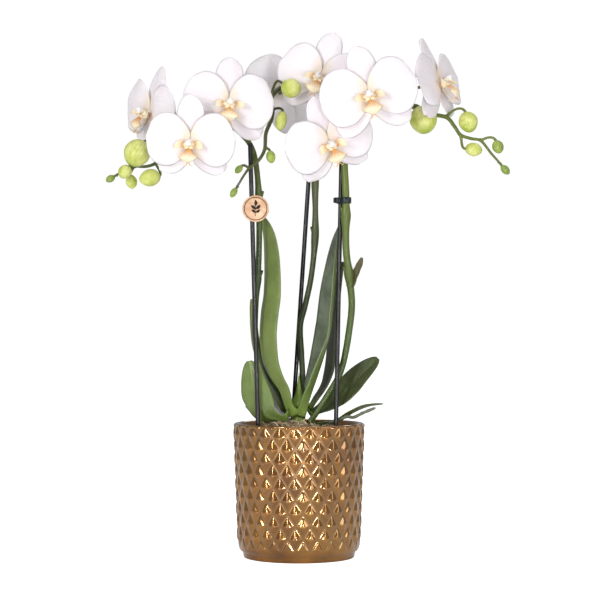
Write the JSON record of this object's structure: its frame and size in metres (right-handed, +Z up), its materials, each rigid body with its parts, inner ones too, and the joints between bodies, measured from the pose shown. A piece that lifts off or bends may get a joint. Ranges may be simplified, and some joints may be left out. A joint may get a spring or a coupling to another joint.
{
  "type": "potted orchid",
  "caption": "Moth orchid with staked, arching flower spikes over a fan of strap leaves, planted in bark in a diamond-studded glazed cover pot.",
  "frame": {"origin": "centre of the flat underside of the pot's foot, on the pot's axis", "axes": "+Z up along the pot's axis, +X to the right of a viewer whom the flowers face, -Y towards that viewer"},
  "size_m": [0.318, 0.1224, 0.4168],
  "materials": {
    "glaze": "gloss",
    "clear_plastic": "gloss",
    "bark": "matte",
    "leaf": "satin",
    "bract": "matte",
    "root": "matte",
    "stem": "satin",
    "petal": "satin",
    "lip": "satin",
    "bud": "satin",
    "stake": "satin",
    "clip": "satin",
    "tag_wood": "matte"
  },
  "bodies": {
    "root": {"cover_pot": "glaze", "nursery_pot": "clear_plastic", "bark": "bark", "crown": "leaf", "leaf_left_front": "leaf", "leaf_left_back": "leaf", "leaf_left_low": "leaf", "leaf_left_small": "leaf", "leaf_back_dark": "leaf", "leaf_right_front": "leaf", "leaf_right_back": "leaf", "leaf_right_broad": "leaf", "leaf_right_low": "leaf", "bract_right": "bract", "air_root": "root", "spike_left": "stem", "spike_middle": "stem", "spike_right": "stem", "stake_left": "stake", "stake_middle": "stake", "stake_right": "stake", "clip_left": "clip", "clip_middle": "clip", "clip_right": "clip", "name_tag": "tag_wood", "flower_left_outer_tepals": "petal", "flower_left_outer_lip": "lip", "flower_left_middle_tepals": "petal", "flower_left_middle_lip": "lip", "flower_left_inner_tepals": "petal", "flower_left_inner_lip": "lip", "flower_back_tepals": "petal", "flower_back_lip": "lip", "flower_middle_top_tepals": "petal", "flower_middle_top_lip": "lip", "flower_middle_low_tepals": "petal", "flower_middle_low_lip": "lip", "flower_right_inner_tepals": "petal", "flower_right_inner_lip": "lip", "flower_right_outer_tepals": "petal", "flower_right_outer_lip": "lip", "bud_left_1": "bud", "bud_left_2": "bud", "bud_left_3": "bud", "bud_left_4": "bud", "bud_left_tip": "bud", "bud_middle_1": "bud", "bud_middle_2": "bud", "bud_middle_3": "bud", "bud_middle_4": "bud", "bud_middle_5": "bud", "bud_middle_tip": "bud", "bud_right_1": "bud", "bud_right_2": "bud", "bud_right_3": "bud", "bud_right_4": "bud", "bud_right_tip": "bud"}
  },
  "joints": []
}
